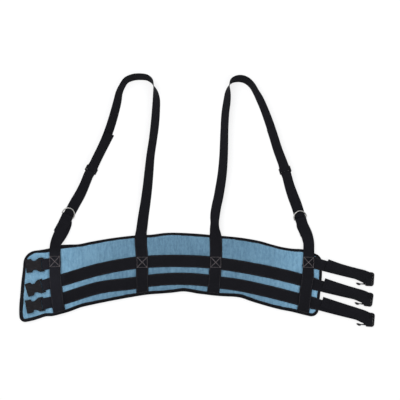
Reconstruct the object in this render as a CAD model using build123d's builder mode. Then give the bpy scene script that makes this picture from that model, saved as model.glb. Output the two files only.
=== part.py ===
from build123d import *
import math
import os

os.makedirs("parts", exist_ok=True)

# The belt lies open on a flat surface, face up. X runs along it, Y across it towards the
# shoulder loops, Z up. The origin is the middle of the belt on the side that meets the wearer.

# Webbing
web_width = 38.0
web_thick = 1.5
double_web = 2 * web_thick
layer_gap = 0.1
bar_play = 0.3

# Belt body, from the lining up
lining_thick = 1.4
foam_thick = 5.0
face_thick = 1.0
binding_thick = 0.8
binding_face = 10.0
pad_bottom = lining_thick
face_bottom = pad_bottom + foam_thick
face_top = face_bottom + face_thick
belt_top = face_top + binding_thick

# Heights of the sewn layers
band_height = belt_top + layer_gap + web_thick / 2
band_top = band_height + web_thick / 2
inner_upright = band_top + layer_gap + web_thick / 2
right_upright = band_top + layer_gap + double_web / 2
tab_top = belt_top + layer_gap + double_web
left_upright = tab_top + layer_gap + double_web / 2

# Outline of the belt: corners, and the points its edges pass through
corner_nw = (-506, 38)
corner_ne = (519, 23)
corner_se = (506, -190)
corner_sw = (-519, -207)
upper_edge = [(-415, 52), (-388, 61), (-355, 63.5), (-318, 65), (-207, 84.5), (-83, 95.5), (16, 102.5),
              (134, 96), (259, 84.5), (347, 64), (455, 43)]
lower_edge = [(-426, -185), (-349, -168), (-235, -138.5), (-141, -119.5), (-27, -105), (47, -98),
              (116, -105), (204, -114.5), (261, -125), (375, -160)]
left_edge = [(-510.5, -24), (-515.5, -65), (-519, -107), (-521.5, -148), (-521.5, -180)]
right_edge = [(520.5, -15), (520, -47), (516.5, -85), (513, -118), (509.5, -155)]
corner_radii = {"nw": 38.0, "ne": 28.0, "se": 26.0, "sw": 20.0}

# Middle lines of the two bands that run the whole length of the belt
band_upper_line = [(-392, -62.7), (-376, -59), (-248, -22), (-121, 1), (-28, 7), (45, 7), (128, 3),
                   (207, -7), (324, -28), (448, -58), (492, -72), (516, -79)]
band_lower_line = [(-392, -126.8), (-366, -121), (-248, -85), (-121, -68), (-76, -61), (31, -54),
                   (124, -60), (169, -67), (217, -73), (324, -95), (438, -124), (490, -138),
                   (510, -143)]
anchor_line = [(456, 10), (492, 1), (517.5, -6.3)]

# Side-release buckles: sockets on the left end, plugs on the straps at the right end.
# Each row is the bar's middle, then the way it points.
socket_spots = {"upper": ((-440, -4.5), 186.0), "middle": ((-440, -77), 197.0),
                "lower": ((-440, -140), 191.0)}
edge_points = {"upper": (519.5, -7), "middle": (518.5, -79.5), "lower": (512, -144)}
plug_spots = {"upper": (690, -56), "middle": (686, -126.5), "lower": (691.5, -196)}
plug_skews = {"upper": 12.0, "middle": 8.0, "lower": 12.0}
tail_gap = 26.0

bar_round = 2.0
socket_thick = 10.0
socket_reach = 58.0
socket_half = 23.0
waist_half = 15.5
shoulder_half = 24.0
mouth_half = 20.5
mouth_height = 6.2
mouth_depth = 42.0
slot_wall = 4.8
rail_inner = 20.2
rail_round = 4.4
socket_height = belt_top + 2 * layer_gap + socket_thick / 2
tab_lead = 18.0
tab_reach = 46.0

plug_thick = 7.2
plug_height = plug_thick / 2 + layer_gap
plug_half = 24.2
plug_rail_inner = 19.7
plug_bar_round = 1.7
plug_corner = 9.5
end_bar = (-3.9, -9.7)
end_bar_slope = 2.1
plug_slot_wall = 6.5
plug_body_end = 19.0
tongue_half = 5.5
tongue_thick = 3.4
tongue_end = 50.0
arm_gap = 0.2
arm_thick = 5.6
arm_root = 2.2
arm_pivot = (plug_body_end + arm_gap + arm_root, 18.1)
arm_outline = [(21.4, 20.3), (34, 20.1), (39.5, 23.4), (45, 23.0), (51, 18.7), (51, 16.2), (46, 14.8),
               (39, 16.6), (34, 17.5), (21.4, 15.9)]
fold_start = (-2.5, 2.45)
fold_rise = 5.5
fold_reach = 16.0

# D-rings and sliders on the shoulder loops
ring_wire = 2.0
ring_half = web_width / 2 + ring_wire + 0.6
ring_leg = 5.0
ring_corner = 2.6
ring_fold_width = 36.0
ring_stack = layer_gap + 2 * (web_thick + layer_gap)
ring_height = ring_stack + web_thick + bar_play + ring_wire
ring_spots = {"left": ((-356, 163.5), 62.8), "right": ((446.5, 153), 107.0)}
ring_fold_reach = 20.0
slider_lean = 38.0
slider_spots = {"left": ((-273, 321), 62.5, slider_lean),
                "right": ((392, 319), 107.5, -slider_lean)}
slider_length = 21.6
slider_half = 24.0
slider_inner = 19.8
slider_bar = 4.2
slider_thick = 2.4
slider_taper = 14.0
slider_height = slider_half * math.sin(math.radians(slider_lean)) + slider_thick / 2 + layer_gap

# Routes of the webbing in the loops: x, y, lean in degrees, and how far it is held up.
# At a lean of 0 the webbing lies flat, at 90 it stands on its edge.
left_loop_rise = [(-98, -100, 0, inner_upright), (-99, -50, 0, inner_upright),
                  (-99, 3, 0, inner_upright), (-100, 26, 0, inner_upright),
                  (-103, 62, 0, inner_upright + 1), (-103, 98, 3, inner_upright + 0.5),
                  (-100, 121, 8, 7.5)]
left_loop_free = [(-96, 160, 18), (-91, 205, 26), (-84, 262, 32), (-76, 318, 38), (-70, 372, 43),
                  (-62, 425, 44), (-55, 478, 44), (-51, 530, 46), (-50, 566, 50), (-53, 590, 66),
                  (-58, 608, 88), (-66, 626, 107), (-79, 636, 115), (-105, 640, 119),
                  (-133, 637, 120), (-154, 627, 120), (-168, 609, 124), (-178, 586, 130),
                  (-184, 558, 136), (-195, 515, 141), (-208, 470, 142), (-222, 430, 142)]
right_loop_rise = [(146, -90, 0, inner_upright), (151, -45, 0, inner_upright),
                   (154, 3, 0, inner_upright), (155, 26, 0, inner_upright),
                   (155, 62, 0, inner_upright + 1), (153, 98, 6, inner_upright + 1.5),
                   (151, 121, 16, 9.5)]
right_loop_free = [(152, 160, 28), (156, 200, 30), (165, 252, 30), (173, 305, 33), (179, 358, 38),
                   (182, 410, 43), (184, 462, 46), (187, 515, 47), (193, 560, 52), (196, 588, 64),
                   (200, 611, 88), (209, 626, 108), (226, 633, 120), (245, 633, 124),
                   (263, 626, 124), (279, 612, 124), (293, 590, 127), (306, 564, 131),
                   (320, 530, 136), (337, 486, 139), (352, 440, 142), (366, 395, 142)]

tail_sections = 2

# Straps that carry the rings, from the bottom edge of the belt up to the ring: x, y, height
left_ring_route = [(-385, -165, left_upright), (-393, -97, left_upright), (-399, -41, left_upright),
                   (-399, 7, left_upright), (-400, 35, left_upright), (-398, 62, left_upright),
                   (-385, 102, 8.0)]
right_ring_route = [(455, -166, right_upright), (463, -98, right_upright), (472, -38, right_upright),
                    (473, 4, right_upright), (475, 41, right_upright), (475, 67, right_upright),
                    (470, 93, 8.5)]

# Straps from under the rings up to the sliders: x, y, lean
left_slider_route = [(-388, 103, 0), (-373, 130, 0), (-355, 163.5, 0), (-333, 203, 0),
                     (-308, 245, 17), (-296, 271, 30)]
right_slider_route = [(465, 97, 0), (458, 117, 0), (446.5, 153, 0), (435, 192, 0), (418, 236, -16),
                      (407, 268, -30)]

stitch_half = 17.0
stitch_line = 0.8
stitch_thick = 0.4
stitch_spots = {"left_outer": (-399, 6, left_upright + double_web / 2, 92.0),
                "left_inner": (-99, 3, inner_upright + web_thick / 2, 90.0),
                "right_inner": (154, 3, inner_upright + web_thick / 2, 89.0),
                "right_outer": (473, 3, right_upright + double_web / 2, 88.0)}


def heading(degrees):
    return Vector(math.cos(math.radians(degrees)), math.sin(math.radians(degrees)), 0)


def bearing(start, end):
    return math.degrees(math.atan2(end[1] - start[1], end[0] - start[0]))


def lean_across(degrees, lean):
    level = heading(degrees + 90)
    return level * math.cos(math.radians(lean)) + Vector(0, 0, 1) * math.sin(math.radians(lean))


def flat_plane(spot, degrees, height, lean=0):
    # X along the heading, Y across it, Z away from the piece's upper face
    normal = heading(degrees).cross(lean_across(degrees, lean))
    return Plane(origin=(spot[0], spot[1], height), x_dir=heading(degrees), z_dir=normal)


def side_plane(spot, degrees, height, lean=0):
    # X along the heading, Y up, so that a side profile is drawn as it looks
    return Plane(origin=(spot[0], spot[1], height), x_dir=heading(degrees),
                 z_dir=-lean_across(degrees, lean))


def lying_height(lean, thick):
    turn = math.radians(lean)
    return web_width / 2 * abs(math.sin(turn)) + thick / 2 * abs(math.cos(turn)) + layer_gap


def web_planes(route, inward=1):
    # One plane across the webbing at each point of its route, X along the webbing's width
    planes = []
    for place, (x, y, z, lean) in enumerate(route):
        before = Vector(*route[max(place - 1, 0)][:3])
        after = Vector(*route[min(place + 1, len(route) - 1)][:3])
        along = (after - before).normalized()
        level = Vector(-along.Y, along.X, 0).normalized() * inward
        turn = math.radians(lean)
        across = level * math.cos(turn) + Vector(0, 0, 1) * math.sin(turn)
        across = (across - along * across.dot(along)).normalized()
        planes.append(Plane(origin=(x, y, z), x_dir=across, z_dir=along))
    return planes


def flat_route(line, height):
    return [(x, y, height, 0) for x, y in line]


def belt_face(inset):
    with BuildSketch() as face:
        with BuildLine():
            left, right = inset, -inset
            nw = (corner_nw[0] + left, corner_nw[1] - inset)
            ne = (corner_ne[0] + right, corner_ne[1] - inset)
            se = (corner_se[0] + right, corner_se[1] + inset)
            sw = (corner_sw[0] + left, corner_sw[1] + inset)
            Spline(nw, *[(x, y - inset) for x, y in upper_edge], ne)
            Spline(ne, *[(x - inset, y) for x, y in right_edge], se)
            Spline(se, *[(x, y + inset) for x, y in reversed(lower_edge)], sw)
            Spline(sw, *[(x + inset, y) for x, y in reversed(left_edge)], nw)
        make_face()
        for corner, place in (("nw", nw), ("ne", ne), ("se", se), ("sw", sw)):
            nearest = face.vertices().sort_by_distance((place[0], place[1], 0))[0]
            fillet(nearest, radius=corner_radii[corner] - inset)
    return face.sketch


def save(part, name):
    part.label = name
    export_step(part, f"parts/{name}.step")


# Belt body ---------------------------------------------------------------------------------

outer_face = belt_face(0)
wall_face = belt_face(binding_thick)
open_face = belt_face(binding_face)

with BuildPart() as lining:
    with BuildSketch():
        add(open_face)
    extrude(amount=lining_thick)
    with BuildSketch(Plane.XY.offset(binding_thick)):
        add(wall_face)
    extrude(amount=lining_thick - binding_thick)
save(lining.part, "lining")

with BuildPart() as foam_pad:
    with BuildSketch(Plane.XY.offset(pad_bottom)):
        add(wall_face)
    extrude(amount=foam_thick)
save(foam_pad.part, "foam_pad")

with BuildPart() as face_panel:
    with BuildSketch(Plane.XY.offset(face_bottom)):
        add(wall_face)
    extrude(amount=face_thick)
save(face_panel.part, "face_panel")

with BuildPart() as edge_binding:
    with BuildSketch():
        add(outer_face)
        add(open_face, mode=Mode.SUBTRACT)
    extrude(amount=binding_thick)
    with BuildSketch(Plane.XY.offset(binding_thick)):
        add(outer_face)
        add(wall_face, mode=Mode.SUBTRACT)
    extrude(amount=face_top - binding_thick)
    with BuildSketch(Plane.XY.offset(face_top)):
        add(outer_face)
        add(open_face, mode=Mode.SUBTRACT)
    extrude(amount=binding_thick)
save(edge_binding.part, "edge_binding")

# Bands along the belt, and the sewn end of the upper plug strap ----------------------------

for name, line in (("band_upper", band_upper_line), ("band_lower", band_lower_line),
                   ("plug_strap_anchor", anchor_line)):
    with BuildPart() as band:
        for plane in web_planes(flat_route(line, band_height)):
            with BuildSketch(plane):
                Rectangle(web_width, web_thick)
        loft(ruled=True)
    save(band.part, name)

# Sockets, and the folded webbing tabs that hold them by their bars -------------------------

fold_inner = bar_round + bar_play
fold_outer = fold_inner + web_thick
tab_level = tab_top - socket_height

for row, (spot, degrees) in socket_spots.items():
    across = side_plane(spot, degrees, socket_height)
    level = flat_plane(spot, degrees, socket_height)

    with BuildPart() as socket_tab:
        with BuildSketch(across):
            with BuildLine():
                Polyline((0, fold_outer), (-tab_lead, tab_level), (-tab_reach, tab_level),
                         (-tab_reach, tab_level - double_web), (-tab_lead, tab_level - double_web),
                         (0, -fold_outer), close=True)
            make_face()
            Circle(fold_outer)
            Circle(fold_inner, mode=Mode.SUBTRACT)
        extrude(amount=web_width / 2, both=True)
    save(socket_tab.part, f"socket_tab_{row}")

    with BuildPart() as socket:
        with BuildSketch(level) as outline:
            with BuildLine():
                Polyline((slot_wall, 0), (slot_wall, shoulder_half), (12, shoulder_half),
                         (25, waist_half), (33, waist_half), (39, socket_half),
                         (socket_reach, socket_half), (socket_reach, 0))
                mirror(about=Plane.XZ)
            make_face()
            fillet(outline.vertices().filter_by(lambda v: v.X > slot_wall + 1 and abs(v.Y) > 1),
                   radius=2.5)
        extrude(amount=socket_thick / 2, both=True)
        ends = socket.faces().filter_by(Plane(level.origin, z_dir=level.z_dir))
        chamfer(ends.edges(), length=0.7)
        with BuildSketch(across):
            Circle(rail_round)
            with Locations((slot_wall / 2 + 0.5, 0)):
                Rectangle(slot_wall + 1, 2 * rail_round)
        extrude(amount=shoulder_half, both=True)
        with BuildSketch(across):
            Rectangle(2 * slot_wall, socket_thick)
        extrude(amount=rail_inner, both=True, mode=Mode.SUBTRACT)
        with BuildSketch(across):
            Circle(bar_round)
        extrude(amount=rail_inner + 1, both=True)
        with BuildSketch(level):
            with Locations((socket_reach - mouth_depth / 2, 0)):
                RectangleRounded(mouth_depth, 2 * mouth_half, 1.5)
            with Locations((socket_reach - 2, 0)):
                Rectangle(4, 2 * mouth_half)
        extrude(amount=mouth_height / 2, both=True, mode=Mode.SUBTRACT)
    save(socket.part, f"socket_{row}")

# Plugs, their spring arms, and the straps that are threaded through them -------------------

plug_fold_inner = plug_bar_round + bar_play
plug_fold_outer = plug_fold_inner + web_thick
fold_level = plug_thick / 2 + 2 * layer_gap

for row, spot in plug_spots.items():
    strap_bearing = bearing(edge_points[row], spot)
    degrees = strap_bearing + 180 + plug_skews[row]
    across = side_plane(spot, degrees, plug_height)
    level = flat_plane(spot, degrees, plug_height)

    with BuildPart() as plug:
        with BuildSketch(level) as outline:
            with Locations(((plug_body_end + end_bar[1]) / 2, 0)):
                Rectangle(plug_body_end - end_bar[1], 2 * plug_half)
            fillet(outline.vertices().filter_by(lambda v: v.X > plug_body_end - 1), radius=3)
            fillet(outline.vertices().filter_by(lambda v: v.X < end_bar[1] + 1), radius=plug_corner)
        extrude(amount=plug_thick / 2, both=True)
        ends = plug.faces().filter_by(Plane(level.origin, z_dir=level.z_dir))
        chamfer(ends.edges(), length=0.8)
        with BuildSketch(level):
            with Locations(((plug_slot_wall + end_bar[0]) / 2, 0)):
                Rectangle(plug_slot_wall - end_bar[0], 2 * plug_rail_inner)
        extrude(amount=plug_thick, both=True, mode=Mode.SUBTRACT)
        with BuildSketch(across):  # the end bar is thinner than the rails, and slopes off the fold
            with BuildLine():
                Polyline((end_bar[0], plug_bar_round - end_bar_slope),
                         (end_bar[0] - end_bar_slope, plug_bar_round),
                         (end_bar[1] - 1, plug_bar_round), (end_bar[1] - 1, plug_thick),
                         (end_bar[0], plug_thick), close=True)
            make_face()
            with Locations((sum(end_bar) / 2, -plug_bar_round - plug_thick / 2)):
                Rectangle(2 * plug_thick, plug_thick)
        extrude(amount=plug_rail_inner, both=True, mode=Mode.SUBTRACT)
        with BuildSketch(level) as tongue:
            with Locations(((plug_body_end + tongue_end) / 2 - 0.5, 0)):
                Rectangle(tongue_end - plug_body_end + 1, 2 * tongue_half)
            fillet(tongue.vertices().filter_by(lambda v: v.X > plug_body_end), radius=2.5)
        extrude(amount=tongue_thick / 2, both=True)
        with BuildSketch(across):
            Circle(plug_bar_round)
        extrude(amount=plug_rail_inner + 1, both=True)
    save(plug.part, f"plug_{row}")

    for hand, side in (("left", 1), ("right", -1)):
        with BuildPart() as plug_arm:
            with BuildSketch(level) as outline:
                with BuildLine():
                    Polyline(*[(x, side * y) for x, y in arm_outline], close=True)
                make_face()
                fillet(outline.vertices().filter_by(lambda v: v.X > arm_pivot[0] + 1), radius=1.5)
                with Locations((arm_pivot[0], side * arm_pivot[1])):
                    Circle(arm_root)
            extrude(amount=arm_thick / 2, both=True)
            ends = plug_arm.faces().filter_by(Plane(level.origin, z_dir=level.z_dir))
            chamfer(ends.edges(), length=0.5)
        save(plug_arm.part, f"plug_arm_{row}_{hand}")

    fold_end = across.from_local_coords((fold_reach, fold_level + web_thick / 2, 0))
    edge = Vector(*edge_points[row], band_height)
    tail_end = edge + (fold_end - edge).normalized() * tail_gap
    halfway = (fold_end + tail_end) * 0.5
    strap_route = [(p.X, p.Y, p.Z, 0) for p in (fold_end, halfway, tail_end, edge)]
    planes = web_planes(strap_route)
    planes[0] = Plane(origin=fold_end, x_dir=across.z_dir, z_dir=across.x_dir)
    with BuildPart() as plug_strap:
        with BuildSketch(across):
            with BuildLine():
                Polyline(fold_start, (fold_rise, fold_level + double_web),
                         (fold_reach, fold_level + double_web), (fold_reach, fold_level),
                         (fold_rise, fold_level), (0, plug_fold_inner), close=True)
            make_face()
            Circle(plug_fold_outer)
            Circle(plug_fold_inner, mode=Mode.SUBTRACT)
        extrude(amount=web_width / 2, both=True)
        for plane in planes[:3]:
            with BuildSketch(plane):
                upward = 1 if plane.y_dir.Z > 0 else -1
                with Locations((0, upward * web_thick / 2)):
                    Rectangle(web_width, double_web)
        loft(ruled=True)
        for plane in planes[2:]:
            with BuildSketch(plane):
                Rectangle(web_width, web_thick)
        loft(ruled=True)
    save(plug_strap.part, f"plug_strap_{row}")

# Rings, and the straps that hold them --------------------------------------------------------

ring_routes = {"left": left_ring_route, "right": right_ring_route}
ring_fold_level = ring_stack - ring_height

for side, (spot, degrees) in ring_spots.items():
    across = side_plane(spot, degrees, ring_height)
    level = flat_plane(spot, degrees, ring_height)

    with BuildPart() as ring:
        with BuildLine(level) as wire:
            half = ring_half - ring_corner
            Line((0, -half), (0, half))
            RadiusArc((0, half), (ring_corner, ring_half), ring_corner)
            Line((ring_corner, ring_half), (ring_leg, ring_half))
            ThreePointArc((ring_leg, ring_half), (ring_leg + ring_half, 0), (ring_leg, -ring_half))
            Line((ring_leg, -ring_half), (ring_corner, -ring_half))
            RadiusArc((ring_corner, -ring_half), (0, -half), ring_corner)
        with BuildSketch(across):
            Circle(ring_wire)
        sweep(path=wire.wires()[0])
    save(ring.part, f"ring_{side}")

    fold_end = across.from_local_coords((-ring_fold_reach, ring_fold_level + double_web / 2, 0))
    route = [(x, y, z, 0) for x, y, z in ring_routes[side]] + [(*fold_end, 0)]
    planes = web_planes(route)
    planes[-1] = Plane(origin=fold_end, x_dir=-across.z_dir, z_dir=across.x_dir)
    with BuildPart() as ring_strap:
        for plane in planes:
            with BuildSketch(plane):
                Rectangle(web_width, double_web)
        loft(ruled=True)
        with BuildSketch(across):
            with BuildLine():
                Polyline((0, fold_outer), (-ring_fold_reach, ring_fold_level + double_web),
                         (-ring_fold_reach, ring_fold_level), (0, -fold_outer), close=True)
            make_face()
            Circle(fold_outer)
            Circle(fold_inner, mode=Mode.SUBTRACT)
        extrude(amount=ring_fold_width / 2, both=True)
    save(ring_strap.part, f"ring_strap_{side}")

# Sliders, the straps from the rings up to them, and the shoulder straps ----------------------

slider_routes = {"left": left_slider_route, "right": right_slider_route}
shoulder_routes = {"left": (left_loop_rise, left_loop_free, 1),
                   "right": (right_loop_rise, right_loop_free, -1)}
outer_bar = slider_length / 2 - slider_bar / 2
bar_half = slider_bar / 2 + bar_play
slot_half = slider_thick / 2 + bar_play
fold_half = slot_half + web_thick
taper_end = slider_length / 2 + slider_taper

for side, (spot, degrees, lean) in slider_spots.items():
    across = side_plane(spot, degrees, slider_height, lean)
    level = flat_plane(spot, degrees, slider_height, lean)

    with BuildPart() as slider:
        with BuildSketch(level):
            RectangleRounded(slider_length, 2 * slider_half, 3)
            for gap in (-outer_bar / 2, outer_bar / 2):
                with Locations((gap, 0)):
                    Rectangle(outer_bar - slider_bar, 2 * slider_inner, mode=Mode.SUBTRACT)
        extrude(amount=slider_thick / 2, both=True)
        ends = slider.faces().filter_by(Plane(level.origin, z_dir=level.z_dir))
        chamfer(ends.edges(), length=0.4)
    save(slider.part, f"slider_{side}")

    start = across.from_local_coords((-taper_end, 0, 0))
    route = [(x, y, lying_height(tilt, double_web), tilt) for x, y, tilt in slider_routes[side]]
    planes = web_planes(route + [(*start, lean)])
    planes[-1] = Plane(origin=start, x_dir=-across.z_dir, z_dir=across.x_dir)
    with BuildPart() as slider_strap:
        for plane in planes:
            with BuildSketch(plane):
                Rectangle(web_width, double_web)
        loft(ruled=True)
        with BuildSketch(across):
            with BuildLine():
                Polyline((-taper_end, web_thick), (-outer_bar - bar_half - 1, fold_half),
                         (-outer_bar + bar_half + web_thick, fold_half),
                         (-outer_bar + bar_half + web_thick, -fold_half),
                         (-outer_bar - bar_half - 1, -fold_half), (-taper_end, -web_thick),
                         close=True)
            make_face()
            with Locations((-outer_bar, 0)):
                Rectangle(2 * bar_half, 2 * slot_half, mode=Mode.SUBTRACT)
        extrude(amount=web_width / 2, both=True)
    save(slider_strap.part, f"slider_strap_{side}")

    rise, free, inward = shoulder_routes[side]
    finish = across.from_local_coords((taper_end, -web_thick / 2, 0))
    route = [(x, y, z, tilt) for x, y, tilt, z in rise]
    route += [(x, y, lying_height(tilt, web_thick), tilt) for x, y, tilt in free]
    planes = web_planes(route + [(*finish, 180 - abs(lean))], inward)
    planes[-1] = Plane(origin=finish, x_dir=-inward * across.z_dir, z_dir=-across.x_dir)
    with BuildPart() as shoulder_strap:
        for plane in planes[:-tail_sections]:
            with BuildSketch(plane):
                Rectangle(web_width, web_thick)
        loft(ruled=True)
        for plane in planes[-tail_sections - 1:]:
            with BuildSketch(plane):
                with Locations((0, -inward * web_thick / 2)):
                    Rectangle(web_width, double_web)
        loft(ruled=True)
        with BuildSketch(across):
            with BuildLine():
                Polyline((taper_end, web_thick), (slider_length / 2 + 1, fold_half),
                         (-bar_half - web_thick, fold_half), (-bar_half - web_thick, -fold_half),
                         (slider_length / 2 + 1, -fold_half), (taper_end, -web_thick), close=True)
            make_face()
            with Locations(((slider_length / 2 + 1 - bar_half) / 2, 0)):
                Rectangle(slider_length / 2 + 1 + bar_half, 2 * slot_half, mode=Mode.SUBTRACT)
        extrude(amount=web_width / 2, both=True)
    save(shoulder_strap.part, f"shoulder_strap_{side}")

# Thread boxes where the upright straps are sewn down -----------------------------------------

for place, (x, y, height, degrees) in stitch_spots.items():
    with BuildPart() as stitches:
        with BuildSketch(flat_plane((x, y), degrees, height)):
            Rectangle(2 * stitch_half, 2 * stitch_half)
            Rectangle(2 * (stitch_half - stitch_line), 2 * (stitch_half - stitch_line),
                      mode=Mode.SUBTRACT)
            diagonal = 2 * math.sqrt(2) * (stitch_half - stitch_line)
            Rectangle(diagonal, stitch_line, rotation=45)
            Rectangle(diagonal, stitch_line, rotation=-45)
        extrude(amount=stitch_thick)
    save(stitches.part, f"stitch_box_{place}")
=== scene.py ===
import math

import bmesh
import bpy
import numpy as np
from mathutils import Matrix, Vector


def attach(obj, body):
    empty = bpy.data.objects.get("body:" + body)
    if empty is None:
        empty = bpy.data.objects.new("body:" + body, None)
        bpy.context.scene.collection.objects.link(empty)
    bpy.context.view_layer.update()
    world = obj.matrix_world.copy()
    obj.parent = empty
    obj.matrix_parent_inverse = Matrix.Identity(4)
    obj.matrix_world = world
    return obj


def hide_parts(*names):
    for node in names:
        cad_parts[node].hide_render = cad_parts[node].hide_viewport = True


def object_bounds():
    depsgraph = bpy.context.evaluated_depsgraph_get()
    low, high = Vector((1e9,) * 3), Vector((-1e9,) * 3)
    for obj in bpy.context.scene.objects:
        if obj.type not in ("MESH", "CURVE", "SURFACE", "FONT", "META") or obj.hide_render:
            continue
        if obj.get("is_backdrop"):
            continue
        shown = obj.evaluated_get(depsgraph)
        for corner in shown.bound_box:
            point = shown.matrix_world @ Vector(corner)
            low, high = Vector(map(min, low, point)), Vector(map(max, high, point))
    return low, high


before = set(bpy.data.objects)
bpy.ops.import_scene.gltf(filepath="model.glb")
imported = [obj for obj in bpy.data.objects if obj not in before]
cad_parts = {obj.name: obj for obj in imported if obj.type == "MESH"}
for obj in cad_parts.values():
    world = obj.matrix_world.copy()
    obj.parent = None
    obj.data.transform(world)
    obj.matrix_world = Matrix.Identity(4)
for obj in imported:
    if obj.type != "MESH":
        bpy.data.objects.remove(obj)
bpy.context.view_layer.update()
print("frame loaded:", len(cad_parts), "nodes")

mm = 0.001

# the belt lies face up, X along it and Y towards the shoulder loops; lengths below are in millimetres
webbing = {"width": 38.0, "thick": 1.5, "gap": 0.1, "rowStep": 2.5, "foldStep": 0.8, "pressed": 1.115,
           "ease": 28.0, "bead": (0.10, 3.2), "groove": (0.06, 5.2), "layer": 0.78, "face": 0.83,
           "doubleFace": 1.61, "ripple": {"along": (17, 41), "across": 9, "least": 0.4, "more": 0.6}}
belt = {
    "corners": {"nw": (-506, 38), "ne": (519, 23), "se": (506, -190), "sw": (-519, -207)},
    "radii": {"nw": 46.0, "ne": 31.0, "se": 26.0, "sw": 20.0},
    "upper": [(-415, 52), (-388, 61), (-355, 63.5), (-318, 64.8), (-280, 72.5), (-207, 85.2), (-148, 92.7),
              (-120, 95.5), (-65, 98), (-24, 103.2), (5, 104.6), (38, 103.7), (100, 100.2), (134, 97),
              (259, 84.5), (310, 74.8), (347, 64), (389, 53.7), (418, 49.5), (455, 47)],
    "lower": [(-473, -197.6), (-452, -191), (-431, -184.3), (-409, -183), (-380, -176.3), (-348, -167),
              (-307, -152), (-286, -147), (-245, -138.3), (-141, -118.5), (-79, -108.9), (-27, -105),
              (3, -102.5), (45, -98.3), (66, -100.6), (86, -104.6), (117, -108.5), (148, -112.3),
              (190, -115.3), (216, -116.4), (238, -119.2), (272, -130.6), (314, -143.6), (376, -160.3),
              (417, -168.4), (459, -179)],
    "left": [(-510.5, -24), (-515.5, -65), (-519, -107), (-522.5, -148), (-522.5, -180)],
    "right": [(520.5, -15), (520, -47), (516.5, -85), (513, -118), (509.5, -155)],
    "lining": 1.4, "top": 8.2, "bandLevel": 9.1}

# middle lines of the webbing across the belt: x, y
bandLines = {
    "upper": [(-392, -62.7), (-376, -59), (-248, -22), (-121, 1), (-28, 7), (45, 7), (128, 3),
              (207, -7), (324, -28), (448, -58), (492, -72), (516, -79)],
    "lower": [(-392, -126.8), (-366, -121), (-248, -85), (-121, -68), (-76, -61), (31, -54),
              (124, -60), (169, -67), (217, -73), (324, -95), (438, -124), (490, -138), (510, -143)],
    "anchor": [(456, 10), (492, 1), (517.5, -6.3)]}

# sockets: middle of the bar and heading in degrees; plugs: where the strap leaves the belt, middle of
# the bar, skew; rings: middle of the bar, heading; sliders: middle, heading, lean
sockets = {"upper": ((-440, -4.5), 186.0), "middle": ((-440, -77), 197.0), "lower": ((-440, -140), 191.0)}
plugs = {"upper": ((519.5, -7), (690, -56), 12.0), "middle": ((518.5, -79.5), (686, -126.5), 8.0),
         "lower": ((512, -144), (691.5, -196), 12.0)}
rings = {"left": ((-356, 163.5), 62.8), "right": ((446.5, 153), 107.0)}
sliders = {"left": ((-273, 321), 62.5, 38.0), "right": ((392, 319), 107.5, -38.0)}

# the inner uprights, from under the binding to the upper rim: x, y, lean in degrees, height
shoulderRise = {
    "left": [(-98, -107.5, 0, 8.1), (-98, -102, 0, 8.6), (-98, -97, 0, 9.3), (-98.3, -89, 0, 10.55),
             (-98.5, -82, 0, 10.65), (-98.8, -64, 0, 10.65), (-99, -45, 0, 10.6), (-99, -30, 0, 9.9),
             (-99, -16, 0, 10.6), (-99, 3, 0, 10.65), (-100, 24, 0, 10.6), (-101, 38, 0, 9.8),
             (-103, 62, 0, 9.8), (-103, 98, 3, 10.5), (-100, 121, 8, 7.5)],
    "right": [(145.4, -103, 0, 8.1), (145.8, -97.5, 0, 8.6), (146.2, -93, 0, 9.3), (147, -87, 0, 10.55),
              (148, -81, 0, 10.65), (149.5, -62, 0, 10.65), (151, -44, 0, 10.6), (152, -30, 0, 9.9),
              (153.5, -16, 0, 10.6), (154, 3, 0, 10.65), (155, 24, 0, 10.6), (155, 38, 0, 9.8),
              (155, 62, 0, 9.8), (153, 98, 8, 11.2), (150.5, 118, 30, 11.8)]}

# the outer uprights, which go on to the rings: x, y, height
ringRoutes = {
    "left": [(-383.6, -170.5, 8.9), (-384.2, -165, 9.5), (-385, -160, 10.7), (-386, -154, 12.3),
             (-387, -148, 12.9), (-393, -97, 12.9), (-398.3, -41, 12.9), (-397.6, 7, 12.9),
             (-398.4, 24, 12.7), (-398.6, 38, 11.2), (-397, 62, 11.2), (-384, 102, 8.0)],
    "right": [(453.8, -173.5, 8.9), (454.4, -168, 9.4), (455.2, -162, 10.2), (456.2, -155, 11.1),
              (457.5, -147, 11.4), (463, -98, 11.4), (471.5, -38, 11.4), (472, 4, 11.4), (474, 28, 11.3),
              (474, 46, 11.0), (474, 67, 10.4), (469.5, 93, 8.5)]}

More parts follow.
